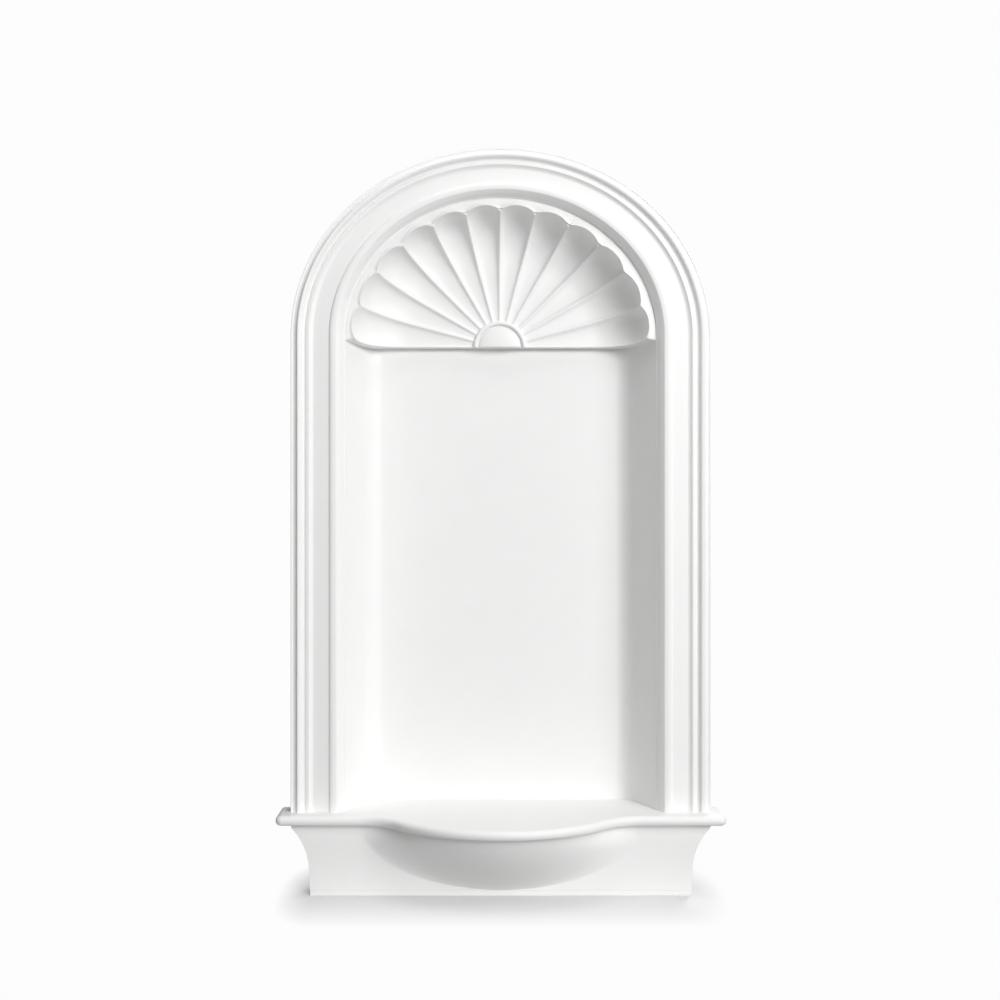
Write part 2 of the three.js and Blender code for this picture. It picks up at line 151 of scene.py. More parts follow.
# The frame's moulding, swept up one leg, over the flattened arch and down the other leg.
# A pull is the share of a member's width at which its curve bends.
moulding = {
    "lipWidth": 3, "lipHeight": 46, "lipRound": 1.2,
    "lipStep": 0.4, "lipStepRound": 0.6,
    "coveWidth": 9.5, "coveStart": 44.5, "covePull": 0.8,
    "crestWidth": 2.5, "crestHeight": 51.5, "crestRound": 0.9,
    "ogeeWidth": 10.5, "quirkHeight": 43.5, "ogeePulls": (0.5, 0.4),
    "beadWidth": 8, "beadHeight": 46.5, "beadPull": 0.2,
    "bevelWidth": 8.5, "bevelPull": 0.5,
    "fasciaWidth": 28.5, "fasciaOuter": 41.5, "fasciaInner": 44.5,
    "innerBeadWidth": 14.5, "innerBeadHeight": 49, "innerBeadDrop": 0.6,
    "innerBeadPull": 0.05, "innerBeadTop": 0.6, "innerBeadRound": 1.6,
    "chamferWidth": 6.5, "chamferHeight": 40,
    "returnWidth": 5,
    "ledgeWidth": 1,
    "edgeRound": 0.8,
    "curveSteps": 7,
    "archSteps": 144 if fine else 72,
}


def mouldingSection():
    # Points from the outer lip inwards: each a distance from the middle and a height off the wall.
    m = moulding
    steps = m["curveSteps"]
    x = niche["frameHalfWidth"]
    line = [(x, 0), (x, m["lipHeight"])]
    rounds = {1: m["lipRound"]}
    x -= m["lipWidth"]
    line.append((x, m["lipHeight"] - m["lipStep"]))
    rounds[2] = m["lipStepRound"]
    line.append((x - m["lipStep"], m["coveStart"]))
    line += curvePoints(line[-1], [(x - m["coveWidth"] * m["covePull"], m["coveStart"])],
                        (x - m["coveWidth"], m["crestHeight"]), steps)
    rounds[len(line) - 1] = m["crestRound"]
    x -= m["coveWidth"] + m["crestWidth"]
    line.append((x, m["crestHeight"]))
    high, low = m["ogeePulls"]
    line += curvePoints(line[-1], [(x - m["ogeeWidth"] * high, m["crestHeight"]),
                                   (x - m["ogeeWidth"] * low, m["quirkHeight"])],
                        (x - m["ogeeWidth"], m["quirkHeight"]), steps)
    x -= m["ogeeWidth"]
    line += curvePoints(line[-1], [(x - m["beadWidth"] * m["beadPull"], m["beadHeight"])],
                        (x - m["beadWidth"], m["beadHeight"]), steps)
    x -= m["beadWidth"]
    line += curvePoints(line[-1], [(x - m["bevelWidth"] * m["bevelPull"], m["fasciaOuter"])],
                        (x - m["bevelWidth"], m["fasciaOuter"]), steps)
    x -= m["bevelWidth"] + m["fasciaWidth"]
    line.append((x, m["fasciaInner"]))
    width, height = m["innerBeadWidth"], m["innerBeadHeight"]
    line += curvePoints(line[-1], [(x - width * m["innerBeadPull"], height)],
                        (x - width * m["innerBeadTop"], height), steps)
    line.append((x - width, height - m["innerBeadDrop"]))
    rounds[len(line) - 1] = m["innerBeadRound"]
    x -= width + m["chamferWidth"]
    line.append((x, m["chamferHeight"]))
    rounds[len(line) - 1] = m["edgeRound"]
    x -= m["returnWidth"]
    # The section runs on inwards as the shell's border, whose face the rooms cut later.
    inner = x - niche["wallThickness"] * 2
    line += [(x, niche["rimHeight"]), (x - m["ledgeWidth"], niche["rimHeight"]),
             (inner, shell["lipHeight"] + niche["overlap"]), (inner, 0)]
    return eased(line, rounds)


def arch(line, name, low):
    # A section swept over the arch, and straight down to a level below both of its ends.
    work = bmesh.new()
    spring = niche["spring"]
    points, edges = strip(work, [spot(x, height, spring) for x, height in line], closed=True)
    spun = bmesh.ops.spin(
        work, geom=points + edges, cent=(0, 0, spring * mm), axis=(0, -1, 0),
        angle=math.pi, steps=moulding["archSteps"], use_duplicate=False)
    last = [item for item in spun["geom_last"] if isinstance(item, bmesh.types.BMEdge)]
    for edge in list(edges) + last:
        for corner in edge.verts:
            corner.co.z = spring * mm
    bmesh.ops.scale(work, vec=(1, 1, archRatio), verts=work.verts,
                    space=Matrix.Translation((0, 0, -spring * mm)))
    for ring in (edges, last):
        leg = bmesh.ops.extrude_edge_only(work, edges=ring)["geom"]
        bmesh.ops.translate(work, vec=(0, 0, (low - spring) * mm),
                            verts=[item for item in leg if isinstance(item, bmesh.types.BMVert)])
        bmesh.ops.contextual_create(
            work, geom=[item for item in leg if isinstance(item, bmesh.types.BMEdge)
                        and all(abs(corner.co.z - low * mm) < mergeReach for corner in item.verts)])
    return finished(work, name)


# The recess behind the wall's face: a deep room under the shell, and a dome behind the shell.
recess = {
    "depth": 66,
    "cornerRadius": 38,
    "sideSlope": 66,  # degrees between a side and the wall's face
    "lidThickness": 14,
    "intoFrame": 1,  # the recess's walls end this far behind the rim
    "cornerSteps": 16,
    "curlSteps": 16, "depthSteps": 8,
    "domeSteps": 96,
}


def sideAt(height, grow=0.0):
    # Half the width between the sloping sides, at a height above the wall, grown by a thickness.
    slope = math.radians(recess["sideSlope"])
    inward = (niche["rimHeight"] - height) / math.tan(slope)
    return niche["rimHalfWidth"] - inward + grow / math.sin(slope)


def recessLine(back, grow):
    # Half of the recess in plan, from the flat back to the end of its rounded corner.
    slope = math.radians(recess["sideSlope"])
    radius = recess["cornerRadius"] + grow
    flatEnd = sideAt(back + radius * (1 - math.cos(slope)), grow) - radius * math.sin(slope)
    steps = recess["cornerSteps"]
    turns = [slope * i / steps for i in range(steps + 1)]
    return [(flatEnd + radius * math.sin(turn), back + radius * (1 - math.cos(turn)))
            for turn in turns]


def upright(line, low, high, name):
    # A prism over a plan that is given as its right half and mirrored to the left.
    work = bmesh.new()
    outline = line + [(-x, height) for x, height in reversed(line)]
    edges = strip(work, [spot(x, height, low) for x, height in outline], closed=True)[1]
    plan = bmesh.ops.contextual_create(work, geom=edges)["faces"]
    top = bmesh.ops.extrude_face_region(work, geom=plan, use_keep_orig=True)["geom"]
    bmesh.ops.translate(work, vec=(0, 0, (high - low) * mm),
                        verts=[item for item in top if isinstance(item, bmesh.types.BMVert)])
    return finished(work, name)


def recessShell():
    inFrame = niche["rimHeight"] - recess["intoFrame"]
    grow = niche["wallThickness"]
    front = niche["overlap"]
    deep = recessLine(-recess["depth"] - grow, grow)
    deep += [(sideAt(front, grow), front), (sideAt(front, grow), inFrame)]
    body = upright(deep, shelfFloor, niche["shellFoot"] + recess["lidThickness"], "recessBox")
    # The outside of the dome is flat behind the hub and follows the bowl's arc from there.
    steps = recess["cornerSteps"]
    back = shell["bowlHeight"] - shell["scoopShare"] * shellRise - grow
    radius = bowlRadius + shell["scoopShare"] * shellRise + grow
    reach = math.acos(1 - (front - back) / radius)
    start = shell["halfWidth"] - shell["bowlRun"]
    turns = [reach * i / steps for i in range(steps + 1)]
    bowl = [(start + radius * math.sin(turn), back + radius * (1 - math.cos(turn)))
            for turn in turns]
    work = bmesh.new()
    profile = [(0, back)] + bowl + [(bowl[-1][0], inFrame), (0, inFrame)]
    points, edges = strip(work, [spot(x, height, niche["spring"]) for x, height in profile])
    bmesh.ops.spin(
        work, geom=points + edges, cent=(0, 0, niche["spring"] * mm), axis=(0, 1, 0),
        angle=math.tau, steps=recess["domeSteps"], use_merge=True, use_duplicate=False)
    bmesh.ops.scale(work, vec=(1, 1, archRatio), verts=work.verts,
                    space=Matrix.Translation((0, 0, -niche["spring"] * mm)))
    return combined(body, finished(work, "recessDome"), "UNION")


# The shell: flutes that spread from a hub between round-edged ridges, with a scalloped lip.
shell = {
    "flutes": 12,
    "halfWidth": 269.7,
    "topBorder": 24.4,
    "sideScallop": 6.9, "topScallop": 11,
    "bowlHeight": -46,
    "bowlRun": 98,
    "lipHeight": 32,
    "ridgeHalfWidth": 2.4,
    "ridgeRound": 0.8,
    "ridgeCrown": 0.3,
    "scoopShare": 0.042,  # depth of a flute, as a share of the distance from the centre
    "scoopFade": 18,  # the flutes get shallow this close to the lip
    "scoopBend": 0.3, "scoopPower": 8,  # how round a flute's floor is, and how steep its walls
    "lipWidth": 2, "lipDrop": 1, "lipRise": 0.2, "lipPull": 0.6, "lipSteps": 5,
    "filletWidth": 6, "filletPull": 0.4, "filletSteps": 6,
    "borderDrop": 3, "borderSteps": 3,
    "footRound": 2.6, "footSteps": 5,
    "mirroredColumns": 2,  # columns that carry on below the foot at each side
    "curlRun": 120, "curlRise": 8.5, "curlDrop": 2.4,
    "columnsPerHalf": 16 if fine else 9,
    "ridgeColumns": 4 if fine else 2,
    "fluteStations": 14,
    "bowlStations": 30 if fine else 18,
}
hub = {
    "radius": 50.7,
    "ringWidth": 8.5, "ringHeight": 5,
    "ringStart": 0.1, "ringTurn": 0.84,  # the ring's arc, as shares of half a turn
    "grooveWidth": 2.2, "grooveDepth": 1.5, "grooveFloor": (0.3, 0.7),
    "domeHeight": 8,
    "stations": 12,
}
shellDrop = niche["spring"] - niche["shellFoot"]
shellRise = archRatio * niche["rimHalfWidth"] + shellDrop - shell["topBorder"]
sector = math.pi / shell["flutes"]
bowlRise = shell["lipHeight"] - shell["bowlHeight"]
bowlRadius = (shell["bowlRun"] ** 2 + bowlRise ** 2) / (2 * bowlRise)


def soffitLift(x, height):
    # How far the underside of the shell lifts near its two ends.
    side = abs(x)
    curl = shell["curlRise"] * clamp((side - shell["halfWidth"]) / shell["curlRun"] + 1) ** 2
    drop = shell["curlDrop"] * smooth(side, shell["halfWidth"], niche["rimHalfWidth"])
    forward = clamp((height + recess["depth"]) / (shell["lipHeight"] + recess["depth"]), 0.02)
    return (curl - drop) * forward ** 2


def rimRadius(angle):
    # Distance from the shell's centre to the inner edge of the frame: a leg, or the arch above it.
    across = abs(math.cos(angle))
    up = abs(math.sin(angle))
    half = niche["rimHalfWidth"]
    straight = half / max(across, 1e-9)
    if straight * up < shellDrop:
        return straight
    rise = archRatio * half
    a = (across / half) ** 2 + (up / rise) ** 2
    b = shellDrop * up / rise ** 2
    return (b + math.sqrt(b * b - a * ((shellDrop / rise) ** 2 - 1))) / a


def acrossFlute(angle):
    # Place across a flute: -1 and 1 on its two ridges, and 0 in its middle.
    return 2 * ((abs(angle) / sector + 1e-9) % 1) - 1


def lipRadius(angle):
    # Distance from the shell's centre to its lip. Each scallop is an arc between two ridges.
    across = acrossFlute(angle)
    half, side, top = shell["halfWidth"], shell["sideScallop"], shell["topScallop"]
    ridge = half * shellRise / math.hypot(shellRise * math.cos(angle), half * math.sin(angle))
    rise = side + (top - side) * abs(math.sin(angle))
    halfChord = ridge * math.sin(sector / 2)
    bulge = ridge * (1 - math.cos(sector / 2))
    sagitta = rise + bulge
    radius = (halfChord ** 2 + sagitta ** 2) / (2 * sagitta)
    arc = sagitta - radius + math.sqrt(radius ** 2 - (halfChord * across) ** 2)
    return ridge + arc - bulge * (1 - across * across)


def faceHeight(radius, angle):
    # Height of the fluted face. The flutes have steep walls beside their round-edged ridges.
    lip = lipRadius(angle)
    run = max(0.0, radius - lip + shell["bowlRun"])
    bowl = shell["bowlHeight"] + bowlRadius - math.sqrt(bowlRadius ** 2 - run * run)
    across = acrossFlute(angle)
    halfFlute = radius * sector / 2
    bar = shell["ridgeHalfWidth"]
    fromRidge = halfFlute * (1 - abs(across))
    past = (math.hypot(fromRidge - bar, shell["ridgeRound"]) + fromRidge - bar) / 2
    fromMiddle = 1 - clamp(past / (halfFlute - bar))
    bend = shell["scoopBend"]
    hollow = 1 - bend * fromMiddle ** 2 - (1 - bend) * fromMiddle ** shell["scoopPower"]
    crown = shell["ridgeCrown"] * clamp(fromRidge / bar) ** 2
    fade = min(1.0, math.sqrt(max(0.0, (lip - radius) / shell["scoopFade"])))
    return bowl - (shell["scoopShare"] * radius * hollow + crown) * fade


def columnAngle(turn, share):
    # Angle of a column of points at a share of the way to the lip. Columns crowd round the ridges.
    half = shell["columnsPerHalf"]
    flute, step = divmod(turn, 2 * half)
    side = 1 if step <= half else -1
    step = min(step, 2 * half - step)
    radius = shell["halfWidth"] * share
    bar = shell["ridgeHalfWidth"]
    onRidge = shell["ridgeColumns"]
    away = bar * min(step / onRidge, 1)
    if step > onRidge:
        away += (radius * sector / 2 - bar) * ((step - onRidge) / (half - onRidge)) ** 1.5
    return sector * (flute + (side < 0)) + side * away / radius


def shellLine(turn):
    # Stations along a column, from the centre outwards: each a radius, a height and an angle.
    lipAngle = columnAngle(turn, 1)
    lip = lipRadius(lipAngle)
    hubAngle = columnAngle(turn, hub["radius"] / lip)
    floor = shell["bowlHeight"]
    domeRadius = hub["radius"] - hub["ringWidth"] - hub["grooveWidth"]
    stations = hub["stations"]
    bends = [math.pi / 2 * i / stations for i in range(stations + 1)]
    line = [(domeRadius * math.sin(bend), floor + hub["domeHeight"] * math.cos(bend))
            for bend in bends]
    groove = hub["grooveWidth"]
    for share in hub["grooveFloor"]:
        line.append((domeRadius + groove * share, floor - hub["grooveDepth"]))
    ringStart = domeRadius + groove
    ringSpan = hub["radius"] - ringStart
    for i in range(stations + 1):
        bend = math.pi * (hub["ringStart"] + hub["ringTurn"] * i / stations)
        line.append((ringStart + ringSpan * (1 - math.cos(bend)) / 2,
                     floor + hub["ringHeight"] * math.sin(bend)))
    line = [(radius, height, hubAngle) for radius, height in line]

    bowlStart = lip - shell["bowlRun"]
    steps = shell["fluteStations"]
    radii = [hub["radius"] + (bowlStart - hub["radius"]) * i / steps for i in range(steps + 1)]
    steps = shell["bowlStations"]
    radii += [bowlStart + shell["bowlRun"] * math.sin(math.pi / 2 * i / steps)
              for i in range(1, steps)]
    for radius in radii:
        angle = columnAngle(turn, radius / lip)
        line.append((radius, faceHeight(radius, angle), angle))

    # The lip's bead, the fillet beside it, and the border, which dips towards the frame.
    rim = rimRadius(lipAngle)
    border = niche["rimHeight"]
    lipHeight, lipWidth, filletWidth = shell["lipHeight"], shell["lipWidth"], shell["filletWidth"]
    outside = lip + lipWidth
    crest = (lip + lipWidth * shell["lipPull"], lipHeight + shell["lipRise"])
    edge = [(lip, lipHeight)]
    edge += curvePoints(edge[-1], [crest], (outside, lipHeight - shell["lipDrop"]),
                        shell["lipSteps"])
    edge += curvePoints(edge[-1], [(outside + filletWidth * shell["filletPull"], border)],
                        (outside + filletWidth, border), shell["filletSteps"])
    edge += curvePoints(edge[-1], [((edge[-1][0] + rim) / 2, border)],
                        (rim, border - shell["borderDrop"]), shell["borderSteps"])
    return line + [(radius, height, lipAngle) for radius, height in edge]


def shellRoom():
    # The room in front of the shell: a half disc whose back is the fluted bowl.
    work = bmesh.new()
    columns = shell["flutes"] * shell["columnsPerHalf"] * 2
    extra = shell["mirroredColumns"]
    turns = columns + 2 * extra
    stations = len(shellLine(0))
    bmesh.ops.create_grid(work, x_segments=turns, y_segments=stations, size=1)
    # The columns below the foot are a mirror of those above it.
    lines = {turn: shellLine(turn) for turn in range(columns + 1)}
    for vert in work.verts:
        turn = round((vert.co.x + 1) / 2 * turns) - extra
        station = round((vert.co.y + 1) / 2 * stations)
        above = columns - abs(abs(turn) - columns)
        line = lines[above]
        if station < stations:
            radius, height, angle = line[station]
        else:
            radius, angle = line[-1][0], line[-1][2]
            height = niche["roomFront"]
        rise = radius * math.sin(angle) * (1 if turn == above else -1)
        vert.co = spot(radius * math.cos(angle), height, niche["shellFoot"] + rise)
    bmesh.ops.remove_doubles(work, verts=work.verts, dist=mergeReach)

    # Level lines near the foot let the foot's front edge be rounded.
    foot = niche["shellFoot"] * mm
    rounding = shell["footRound"]
    steps = shell["footSteps"]
    levels = [rounding * (1 - math.cos(math.pi / 2 * i / steps)) for i in range(1, steps + 1)]
    for level in levels + [0, -1]:
        bmesh.ops.bisect_plane(
            work, geom=work.verts[:] + work.edges[:] + work.faces[:], dist=1e-7,
            plane_co=(0, 0, foot + level * mm), plane_no=(0, 0, 1), clear_inner=level < 0)
    for vert in work.verts:
        x, height, rise = vert.co.x / mm, -vert.co.y / mm, (vert.co.z - foot) / mm
        if height > shell["lipHeight"] + 1:
            depth = 0
        else:
            under = clamp(rounding - rise, 0, rounding)
            depth = rounding - math.sqrt(rounding ** 2 - under ** 2)
        angle = math.atan2(max(rise, 0), abs(x) + 1e-9)
        lift = soffitLift(x, min(height, shell["lipHeight"])) * max(0, 1 - angle / sector)
        vert.co = spot(x, height - depth, foot / mm + rise + lift)
    rim = [edge for edge in work.edges if edge.is_boundary]
    front = bmesh.ops.extrude_edge_only(work, edges=rim)["geom"]
    for item in front:
        if isinstance(item, bmesh.types.BMVert):
            item.co.y = -(niche["roomFront"] + 1) * mm
    around = [item for item in front if isinstance(item, bmesh.types.BMEdge) and item.is_boundary]
    bmesh.ops.contextual_create(work, geom=around)
    return finished(work, "shellRoom")


def recessRoom():
    # The room under the shell. Its roof is the shell's underside, which curls up at its two ends.
    line = recessLine(-recess["depth"], 0)
    work = bmesh.new()
    outline = line + [(niche["rimHalfWidth"], niche["rimHeight"]),
                      (niche["rimHalfWidth"], niche["roomFront"])]
    half = outline + [(-x, height) for x, height in reversed(outline)]
    edges = strip(work, [spot(x, height, niche["shelfTop"]) for x, height in half], closed=True)[1]
    plan = bmesh.ops.contextual_create(work, geom=edges)["faces"]
    top = bmesh.ops.extrude_face_region(work, geom=plan, use_keep_orig=True)["geom"]
    bmesh.ops.translate(work, vec=(0, 0, (niche["shellFoot"] - niche["shelfTop"]) * mm),
                        verts=[item for item in top if isinstance(item, bmesh.types.BMVert)])
    # Lines across the roof let it follow the curl.
    halfWay = (niche["shelfTop"] + niche["shellFoot"]) / 2 * mm
    start = shell["halfWidth"] - shell["curlRun"]
    steps = recess["curlSteps"]
    stops = [start + (niche["rimHalfWidth"] - start) * i / steps for i in range(steps)]
    cuts = [((side * across * mm, 0, 0), (1, 0, 0)) for across in stops for side in (-1, 1)]
    steps = recess["depthSteps"]
    heights = [-recess["depth"] + (shell["lipHeight"] + recess["depth"]) * i / steps
               for i in range(steps + 1)]
    cuts += [((0, -height * mm, 0), (0, 1, 0)) for height in heights]
    for place, way in cuts:
        roof = [face for face in work.faces if min(vert.co.z for vert in face.verts) > halfWay]
        sides = list({edge for face in roof for edge in face.edges})
        bmesh.ops.bisect_plane(work, geom=roof + sides, dist=1e-7, plane_co=place, plane_no=way)
    for vert in work.verts:
        if vert.co.z > halfWay:
            height = min(-vert.co.y / mm, shell["lipHeight"])
            vert.co.z += soffitLift(vert.co.x / mm, height) * mm
    bmesh.ops.triangulate(work, faces=[face for face in work.faces if len(face.verts) > 4])
    return finished(work, "recessRoom")


# The shelf: a slab with a bowed front and a half-round edge.
shelf = {
    "halfWidth": 410,
    "standOut": 84,
    "bowStandOut": 118,
    "bowEnd": 258,
    "bendShare": 0.26,  # radius of the bends at the bow's ends, as a share of both radii together
    "nose": 8.7,
    "cornerRadius": 11.7,
    "frontSteps": 120,
    "noseSteps": 8,
}


def frontAt(x, inset):
    # Plan of the bowed front: height above the wall at a place across, moved back by an inset.
    side = abs(x)
    bothRadii = (shelf["bowEnd"] ** 2 + shelf["bowStandOut"] ** 2) / (2 * shelf["bowStandOut"])
    bendRadius = shelf["bendShare"] * bothRadii
    bowRadius = bothRadii - bendRadius
    bowCentre = shelf["standOut"] + shelf["bowStandOut"] - bowRadius
    bendCentre = shelf["standOut"] + bendRadius
    meet = shelf["bowEnd"] * (bowRadius - inset) / bothRadii
    if side <= meet:
        return bowCentre + math.sqrt((bowRadius - inset) ** 2 - side * side)
    if side >= shelf["bowEnd"]:
        return shelf["standOut"] - inset
    return bendCentre - math.sqrt((bendRadius + inset) ** 2 - (shelf["bowEnd"] - side) ** 2)


def shelfSlab():
    s = shelf
    work = bmesh.new()
    bow = [s["bowEnd"] * (1 - 2 * i / s["frontSteps"]) for i in range(s["frontSteps"] + 1)]
    radius = s["cornerRadius"]
    turns = [math.pi / 2 * i / s["noseSteps"] for i in range(s["noseSteps"] + 1)]
    corner = [(s["halfWidth"] - radius + radius * math.cos(turn),
               s["standOut"] - radius + radius * math.sin(turn)) for turn in turns]
    outline = [(s["halfWidth"], 0)] + corner + [(x, frontAt(x, 0)) for x in bow]
    outline += [(-x, height) for x, height in reversed(corner)] + [(-s["halfWidth"], 0)]
    edges = strip(work, [spot(x, height, shelfFloor) for x, height in outline], closed=True)[1]
    plan = bmesh.ops.contextual_create(work, geom=edges)["faces"]
    top = bmesh.ops.extrude_face_region(work, geom=plan, use_keep_orig=True)["geom"]
    bmesh.ops.translate(work, vec=(0, 0, niche["shelfThickness"] * mm),
                        verts=[item for item in top if isinstance(item, bmesh.types.BMVert)])
    bmesh.ops.recalc_face_normals(work, faces=work.faces)
    nosing = [edge for edge in work.edges
              if abs(edge.verts[0].co.z - edge.verts[1].co.z) < 1e-6
              and min(vert.co.y for vert in edge.verts) < -1e-6]
    bmesh.ops.bevel(
        work, geom=nosing, offset=s["nose"] * mm, offset_type="OFFSET", affect="EDGES",
        segments=s["noseSteps"], profile=0.5, material=-1, clamp_overlap=False)
    bmesh.ops.bisect_plane(
        work, geom=work.verts[:] + work.edges[:] + work.faces[:], dist=1e-7,
        plane_co=(0, 0, 0), plane_no=(0, 1, 0), clear_outer=True)
    wall = [edge for edge in work.edges if edge.is_boundary]
    bmesh.ops.contextual_create(work, geom=wall)
    return finished(work, "shelfSlab")


# The base under the shelf: coved ends, a belly that fades out above a band along the bottom.
base = {
    "setBack": 26,
    "endBand": 8,
    "coveDepth": 33, "coveHeight": 80,
    "endTaper": 2,
    "bandHeight": 10, "bandSetBack": 0.6, "bandRows": (-0.1, 0.3),
    "fullness": 1.5,  # a higher power keeps the belly full further down
    "roundness": 0.8, "roundFrom": 0.35, "edgeSoftness": 1.4,
    "intoShelf": 0.5,
    "edgeRound": 1.6, "edgeSteps": 3, "edgeAngle": 50,
    "bellyColumns": 44, "endColumns": 5,
    "bellyRows": 40,
}


def endInset(depth):
    # How far the ends of the base are drawn in, at a depth under the shelf.
    b = base
    below = clamp(b["endBand"] + b["coveHeight"] - depth, 0, b["coveHeight"])
    radius = (b["coveHeight"] ** 2 + b["coveDepth"] ** 2) / (2 * b["coveDepth"])
    cove = b["coveDepth"] - (radius - math.sqrt(radius ** 2 - below ** 2))
    full = shelfFloor - niche["bottom"]
    return cove + b["endTaper"] * smooth(depth, b["endBand"] + b["coveHeight"], full)


def bellyOut(across, depth):
    # How far the belly stands out, at a share of its half width and a depth under the shelf.
    height = shelfFloor - niche["bottom"] - base["bandHeight"]
    share = depth / height
    if share >= 1:
        return 0.0
    # At the top it follows the shelf's bow, and lower down an arc with softer ends.
    flat = shelf["standOut"] - base["setBack"]
    bow = frontAt(shelf["bowEnd"] * across, base["setBack"]) - flat
    arc = shelf["bowStandOut"] * (1 - across * across) ** base["edgeSoftness"]
    roundness = base["roundness"] * smooth(share, 0, base["roundFrom"])
    return (bow + (arc - bow) * roundness) * (1 - share ** base["fullness"])


def baseBlock():
    b = base
    full = shelfFloor - niche["bottom"]
    bellyHeight = full - b["bandHeight"]
    depths = [bellyHeight * (i / b["bellyRows"]) for i in range(b["bellyRows"])]
    lowRow = len(depths)
    depths += [bellyHeight + step for step in b["bandRows"]]
    depths += [bellyHeight + b["bandSetBack"], full]
    rows = len(depths) - 1
    most = 0.9995  # of the belly's height, so that its columns never meet
    columns = 2 * (b["bellyColumns"] + b["endColumns"])
    halfWidth = shelf["halfWidth"] - b["setBack"]
    work = bmesh.new()
    bmesh.ops.create_grid(work, x_segments=columns, y_segments=rows, size=1)
    for vert in work.verts:
        column = round(vert.co.x * columns / 2)
        row = round((vert.co.y + 1) / 2 * rows)
        depth = depths[row]
        share = clamp(depth / bellyHeight, 0, most)
        reach = shelf["bowEnd"] * math.sqrt(1 - share * share)
        edge = halfWidth - endInset(depth)
        side = abs(column)
        if side <= b["bellyColumns"]:
            bellyShare = side / b["bellyColumns"]
            across = reach * bellyShare
        else:
            bellyShare = 1
            across = reach + (edge - reach) * (side - b["bellyColumns"]) / b["endColumns"]
        setBack = b["bandSetBack"] if row > lowRow + 1 else 0
        front = shelf["standOut"] - b["setBack"] + bellyOut(bellyShare, depth) - setBack
        level = shelfFloor - depth + (b["intoShelf"] if row == 0 else 0)
        vert.co = spot(math.copysign(across, column) if column else 0, front, level)
    around = [edge for edge in work.edges if edge.is_boundary]
    back = bmesh.ops.extrude_edge_only(work, edges=around)["geom"]
    for item in back:
        if isinstance(item, bmesh.types.BMVert):
            item.co.y = 0
    bmesh.ops.contextual_create(work, geom=[
        item for item in back if isinstance(item, bmesh.types.BMEdge) and item.is_boundary])
    bmesh.ops.remove_doubles(work, verts=work.verts, dist=mergeReach * 2)
    bmesh.ops.recalc_face_normals(work, faces=work.faces)
    corners = [edge for edge in work.edges
               if len(edge.link_faces) == 2
               and edge.calc_face_angle(0) > math.radians(b["edgeAngle"])
               and max(vert.co.y for vert in edge.verts) < -mm
               and min(vert.co.z for vert in edge.verts) < (shelfFloor - 1) * mm]
    bmesh.ops.bevel(
        work, geom=corners, offset=b["edgeRound"] * mm, offset_type="OFFSET", affect="EDGES",
        segments=b["edgeSteps"], profile=0.5, material=-1, clamp_overlap=True)
    return finished(work, "baseBlock")


print("moulding and recess")
body = arch(mouldingSection(), "wallNiche", niche["shelfTop"] - niche["overlap"])
body = combined(body, recessShell(), "UNION")
print("shelf and base")
body = combined(body, shelfSlab(), "UNION")
body = combined(body, baseBlock(), "UNION")
print("rooms")
body = combined(body, recessRoom(), "DIFFERENCE")
body = combined(body, shellRoom(), "DIFFERENCE")

for polygon in body.data.polygons:
    polygon.use_smooth = True
body.data.set_sharp_from_angle(angle=math.radians(niche["sharpAngle"]))
weighted = body.modifiers.new("evenShading", "WEIGHTED_NORMAL")
weighted.keep_sharp = True
weighted.weight = 50
triangles = sum(len(polygon.vertices) - 2 for polygon in body.data.polygons)
print(f"niche: {triangles} triangles")


class Shade:
    # A socket of a material, on which sums are written as on a number.

    def __init__(self, tree, socket=None):
        self.tree = tree
        self.socket = socket

    def make(self, kind, settings=None, sockets=None, out=0):
        node = self.tree.nodes.new(kind)
        for name, value in (settings or {}).items():
            if name == "stops":
                ramp = node.color_ramp.elements
                while len(ramp) < len(value):
                    ramp.new(0.5)
                for element, (place, colour) in zip(ramp, value):
                    element.position = place
                    element.color = colour
            else:
                setattr(node, name, value)
        for name, value in (sockets or {}).items():
            if isinstance(value, Shade):
                self.tree.links.new(value.socket, node.inputs[name])
            else:
                node.inputs[name].default_value = value
        return Shade(self.tree, node.outputs[out] if node.outputs else None)

    def sum(self, operation, first, second, clampIt=False):
        return self.make("ShaderNodeMath", {"operation": operation, "use_clamp": clampIt},
                         {0: first, 1: second})

    def vector(self, operation, sockets, out=0):
        return self.make("ShaderNodeVectorMath", {"operation": operation}, sockets, out)

    def __add__(self, other):
        return self.sum("ADD", self, other)

    def __radd__(self, other):
        return self.sum("ADD", other, self)

    def __sub__(self, other):
        return self.sum("SUBTRACT", self, other)

    def __rsub__(self, other):
        return self.sum("SUBTRACT", other, self)

    def __mul__(self, other):
        return self.sum("MULTIPLY", self, other)

    def __rmul__(self, other):
        return self.sum("MULTIPLY", other, self)

    def clear(self):
        return self.sum("ADD", self, 0.0, True)


def newMaterial(name):
    material = bpy.data.materials.new(name)
    material.use_nodes = True
    material.node_tree.nodes.clear()
    return material, Shade(material.node_tree)


# Flat white primer, sprayed on smooth cast foam.
primer = {
    "white": (0.915, 0.915, 0.908, 1),
    "shade": (0.89, 0.891, 0.885, 1),
    "dust": (0.62, 0.60, 0.57, 1),
    "roughness": 0.52,
    "cloudScale": 7.0, "streakScale": 38.0,
    "peelScale": 260.0, "peelHeight": 0.00006,
    "grainScale": 1100.0, "grainHeight": 0.00002,
    "speckScale": 120.0, "speckSize": 0.055, "speckStrength": 0.35,
    "bumpStrength": 0.8,
    "ior": 1.46,
}


